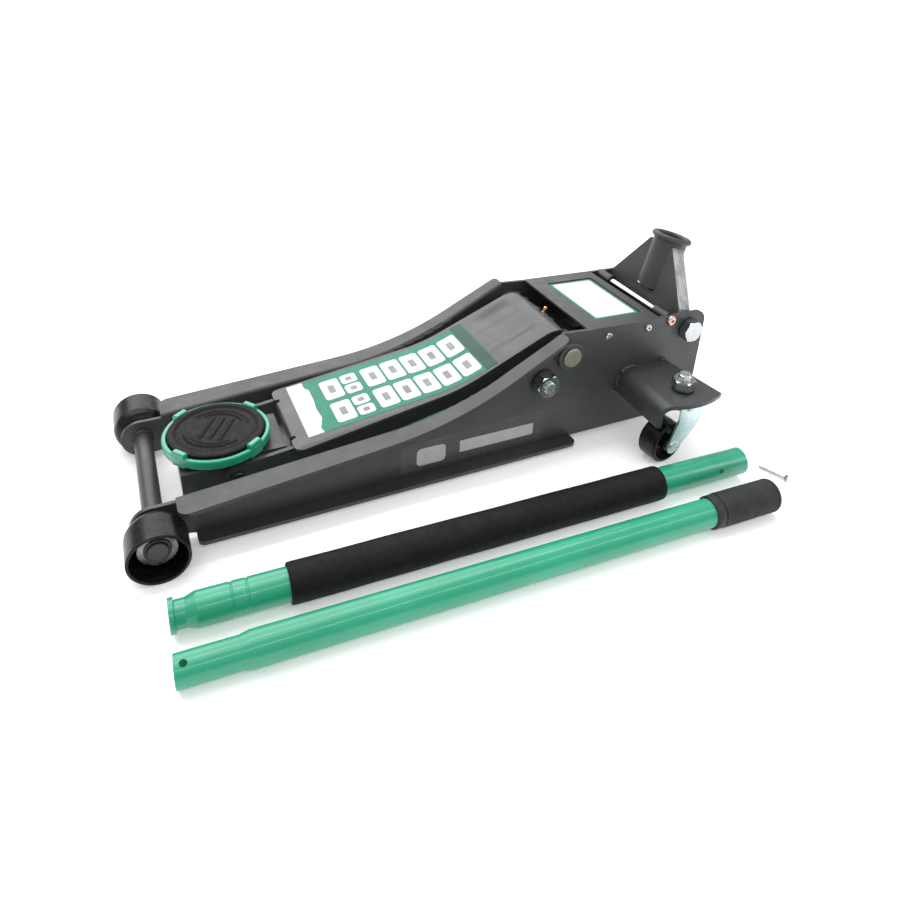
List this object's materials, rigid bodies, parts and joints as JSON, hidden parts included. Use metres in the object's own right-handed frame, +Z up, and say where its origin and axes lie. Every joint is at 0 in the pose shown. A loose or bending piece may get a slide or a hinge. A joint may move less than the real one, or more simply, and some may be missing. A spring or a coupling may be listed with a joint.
{
  "type": "hydraulic floor jack",
  "caption": "Low-profile hydraulic floor jack, lowered, with a turning saddle, parallelogram lift arm, front rollers, rear casters, a handle socket and a two-piece handle laid beside it.",
  "frame": {"origin": "on the floor, at the middle of the whole set's length and width, with the handle pieces laid beside the jack", "axes": "+X along the chassis from the front rollers to the rear casters, +Y across towards the far side plate, +Z up"},
  "size_m": [0.8079, 0.532, 0.2635],
  "materials": {
    "side_plate_near": "semi-gloss dark grey paint",
    "side_plate_far": "semi-gloss dark grey paint",
    "front_axle": "semi-gloss dark grey paint",
    "axle_washers": "zinc plated",
    "axle_snap_rings": "zinc plated",
    "cylinder_support": "semi-gloss dark grey paint",
    "cylinder": "zinc plated",
    "gland_nut": "zinc plated",
    "reservoir": "semi-gloss dark grey paint",
    "filler_plug": "zinc plated",
    "pump_block": "semi-gloss dark grey paint",
    "rear_cover": "semi-gloss dark grey paint",
    "cover_screws": "zinc plated",
    "tie_rod": "zinc plated",
    "tie_rod_sleeves": "black coating",
    "tie_rod_screws": "copper coloured plating",
    "caster_brackets": "semi-gloss dark grey paint",
    "caster_studs": "zinc plated",
    "caster_nuts": "zinc plated",
    "caster_spring_washers": "black coating",
    "pivot_shaft": "olive zinc plated",
    "pivot_bosses": "semi-gloss dark grey paint",
    "rod_pivot_studs": "zinc plated",
    "rod_pivot_nuts": "zinc plated",
    "rod_pivot_washers": "black coating",
    "yoke_pivot_bolts": "zinc plated",
    "yoke_pivot_washers": "black coating",
    "front_wheel_near": "black painted iron",
    "front_wheel_far": "black painted iron",
    "arm_side_bars": "semi-gloss dark grey paint",
    "arm_cover": "semi-gloss dark grey paint",
    "arm_hub": "semi-gloss dark grey paint",
    "arm_levers": "semi-gloss dark grey paint",
    "arm_cross_tubes": "semi-gloss dark grey paint",
    "lever_pin": "zinc plated",
    "grease_nipple": "brass",
    "saddle_pins": "zinc plated",
    "radius_rods": "semi-gloss green paint",
    "saddle_bracket": "semi-gloss dark grey paint",
    "rod_pin": "zinc plated",
    "saddle_cup": "semi-gloss green paint",
    "saddle_pad": "moulded rubber",
    "saddle_stem_clip": "zinc plated",
    "ram_rod": "hard chrome",
    "ram_clevis": "zinc plated",
    "yoke_bracket": "semi-gloss dark grey paint",
    "handle_socket": "semi-gloss dark grey paint",
    "pump_roller": "zinc plated",
    "valve_driver": "zinc plated",
    "release_valve": "zinc plated",
    "pump_plunger": "zinc plated",
    "caster_fork_near": "zinc plated",
    "caster_fork_far": "zinc plated",
    "caster_wheel_near": "black nylon",
    "caster_wheel_far": "black nylon",
    "lower_handle_tube": "semi-gloss green paint",
    "foam_sleeve": "closed cell foam",
    "upper_handle_tube": "semi-gloss green paint",
    "handle_grip": "knurled rubber",
    "handle_bolt": "zinc plated"
  },
  "bodies": {
    "chassis": {"side_plate_near": "side_plate_near", "side_plate_far": "side_plate_far", "front_axle": "front_axle", "axle_washers": "axle_washers", "axle_snap_rings": "axle_snap_rings", "cylinder_support": "cylinder_support", "cylinder": "cylinder", "gland_nut": "gland_nut", "reservoir": "reservoir", "filler_plug": "filler_plug", "pump_block": "pump_block", "rear_cover": "rear_cover", "cover_screws": "cover_screws", "tie_rod": "tie_rod", "tie_rod_sleeves": "tie_rod_sleeves", "tie_rod_screws": "tie_rod_screws", "caster_brackets": "caster_brackets", "caster_studs": "caster_studs", "caster_nuts": "caster_nuts", "caster_spring_washers": "caster_spring_washers", "pivot_shaft": "pivot_shaft", "pivot_bosses": "pivot_bosses", "rod_pivot_studs": "rod_pivot_studs", "rod_pivot_nuts": "rod_pivot_nuts", "rod_pivot_washers": "rod_pivot_washers", "yoke_pivot_bolts": "yoke_pivot_bolts", "yoke_pivot_washers": "yoke_pivot_washers"},
    "front_wheel_near": {"front_wheel_near": "front_wheel_near"},
    "front_wheel_far": {"front_wheel_far": "front_wheel_far"},
    "lift_arm": {"arm_side_bars": "arm_side_bars", "arm_cover": "arm_cover", "arm_hub": "arm_hub", "arm_levers": "arm_levers", "arm_cross_tubes": "arm_cross_tubes", "lever_pin": "lever_pin", "grease_nipple": "grease_nipple", "saddle_pins": "saddle_pins"},
    "radius_rods": {"radius_rods": "radius_rods"},
    "saddle_bracket": {"saddle_bracket": "saddle_bracket", "rod_pin": "rod_pin"},
    "saddle": {"saddle_cup": "saddle_cup", "saddle_pad": "saddle_pad", "saddle_stem_clip": "saddle_stem_clip"},
    "ram": {"ram_rod": "ram_rod", "ram_clevis": "ram_clevis"},
    "handle_yoke": {"yoke_bracket": "yoke_bracket", "handle_socket": "handle_socket"},
    "pump_roller": {"pump_roller": "pump_roller"},
    "valve_driver": {"valve_driver": "valve_driver"},
    "release_valve": {"release_valve": "release_valve"},
    "pump_plunger": {"pump_plunger": "pump_plunger"},
    "caster_fork_near": {"caster_fork_near": "caster_fork_near"},
    "caster_fork_far": {"caster_fork_far": "caster_fork_far"},
    "caster_wheel_near": {"caster_wheel_near": "caster_wheel_near"},
    "caster_wheel_far": {"caster_wheel_far": "caster_wheel_far"},
    "lower_handle": {"lower_handle_tube": "lower_handle_tube", "foam_sleeve": "foam_sleeve"},
    "upper_handle": {"upper_handle_tube": "upper_handle_tube", "handle_grip": "handle_grip"},
    "handle_bolt": {"handle_bolt": "handle_bolt"}
  },
  "joints": [
    {"name": "front_wheel_near_roll", "type": "hinge", "parent": "chassis", "child": "front_wheel_near", "pos_m": [-0.369, -0.05, 0.032], "axis": [0, 1, 0], "continuous": true},
    {"name": "front_wheel_far_roll", "type": "hinge", "parent": "chassis", "child": "front_wheel_far", "pos_m": [-0.369, 0.186, 0.032], "axis": [0, 1, 0], "continuous": true},
    {"name": "arm_lift", "type": "hinge", "parent": "chassis", "child": "lift_arm", "pos_m": [0.153, 0.068, 0.142], "axis": [0, 1, 0], "range_deg": [0, 61]},
    {"name": "radius_rods_lift", "type": "hinge", "parent": "chassis", "child": "radius_rods", "pos_m": [0.1154, 0.068, 0.1095], "axis": [0, 1, 0], "range_deg": [0, 61]},
    {"name": "saddle_level", "type": "hinge", "parent": "lift_arm", "child": "saddle_bracket", "pos_m": [-0.275, 0.068, 0.0475], "axis": [0, 1, 0], "range_deg": [-61, 0]},
    {"name": "saddle_turn", "type": "hinge", "parent": "saddle_bracket", "child": "saddle", "pos_m": [-0.2873, 0.068, 0.06], "axis": [0, 0, 1], "continuous": true},
    {"name": "ram_stroke", "type": "slide", "parent": "chassis", "child": "ram", "axis": [-1, 0, 0], "range_m": [0, 0.0735]},
    {"name": "handle_swing", "type": "hinge", "parent": "chassis", "child": "handle_yoke", "pos_m": [0.3553, 0.068, 0.1469], "axis": [0, 1, 0], "range_deg": [0, 55]},
    {"name": "pump_roller_roll", "type": "hinge", "parent": "handle_yoke", "child": "pump_roller", "pos_m": [0.3693, 0.096, 0.1209], "axis": [0, 1, 0], "continuous": true},
    {"name": "valve_driver_turn", "type": "hinge", "parent": "handle_yoke", "child": "valve_driver", "pos_m": [0.3616, 0.068, 0.19283], "axis": [0.2588, 0, 0.9659], "range_deg": [-90, 180]},
    {"name": "release_valve_turn", "type": "hinge", "parent": "chassis", "child": "release_valve", "pos_m": [0.327, 0.04, 0.12], "axis": [0, 0, 1], "range_deg": [-90, 180]},
    {"name": "pump_stroke", "type": "slide", "parent": "chassis", "child": "pump_plunger", "axis": [-1, 0, 0], "range_m": [0, 0.028]},
    {"name": "caster_near_swivel", "type": "hinge", "parent": "chassis", "child": "caster_fork_near", "pos_m": [0.292, -0.0963, 0.088], "axis": [0, 0, 1], "continuous": true},
    {"name": "caster_far_swivel", "type": "hinge", "parent": "chassis", "child": "caster_fork_far", "pos_m": [0.292, 0.2323, 0.088], "axis": [0, 0, 1], "continuous": true},
    {"name": "caster_near_roll", "type": "hinge", "parent": "caster_fork_near", "child": "caster_wheel_near", "pos_m": [0.2672, -0.09943, 0.03], "axis": [0.1253, -0.9921, 0], "continuous": true},
    {"name": "caster_far_roll", "type": "hinge", "parent": "caster_fork_far", "child": "caster_wheel_far", "pos_m": [0.2672, 0.23543, 0.03], "axis": [0.1253, 0.9921, 0], "continuous": true},
    {"name": "lower_handle_lift_off", "type": "slide", "parent": "chassis", "child": "lower_handle", "axis": [0, 0, 1], "range_m": [0, 0.3]},
    {"name": "upper_handle_lift_off", "type": "slide", "parent": "chassis", "child": "upper_handle", "axis": [0, 0, 1], "range_m": [0, 0.3]},
    {"name": "handle_bolt_lift_off", "type": "slide", "parent": "chassis", "child": "handle_bolt", "axis": [0, 0, 1], "range_m": [0, 0.3]}
  ],
  "couplings": [
    {"joint": "radius_rods_lift", "follows": "arm_lift", "ratio": 1},
    {"joint": "saddle_level", "follows": "arm_lift", "ratio": -1},
    {"joint": "ram_stroke", "follows": "arm_lift", "m_per_rad": 0.0685},
    {"joint": "pump_stroke", "follows": "handle_swing", "m_per_rad": 0.0284},
    {"joint": "release_valve_turn", "follows": "valve_driver_turn", "ratio": 1}
  ]
}
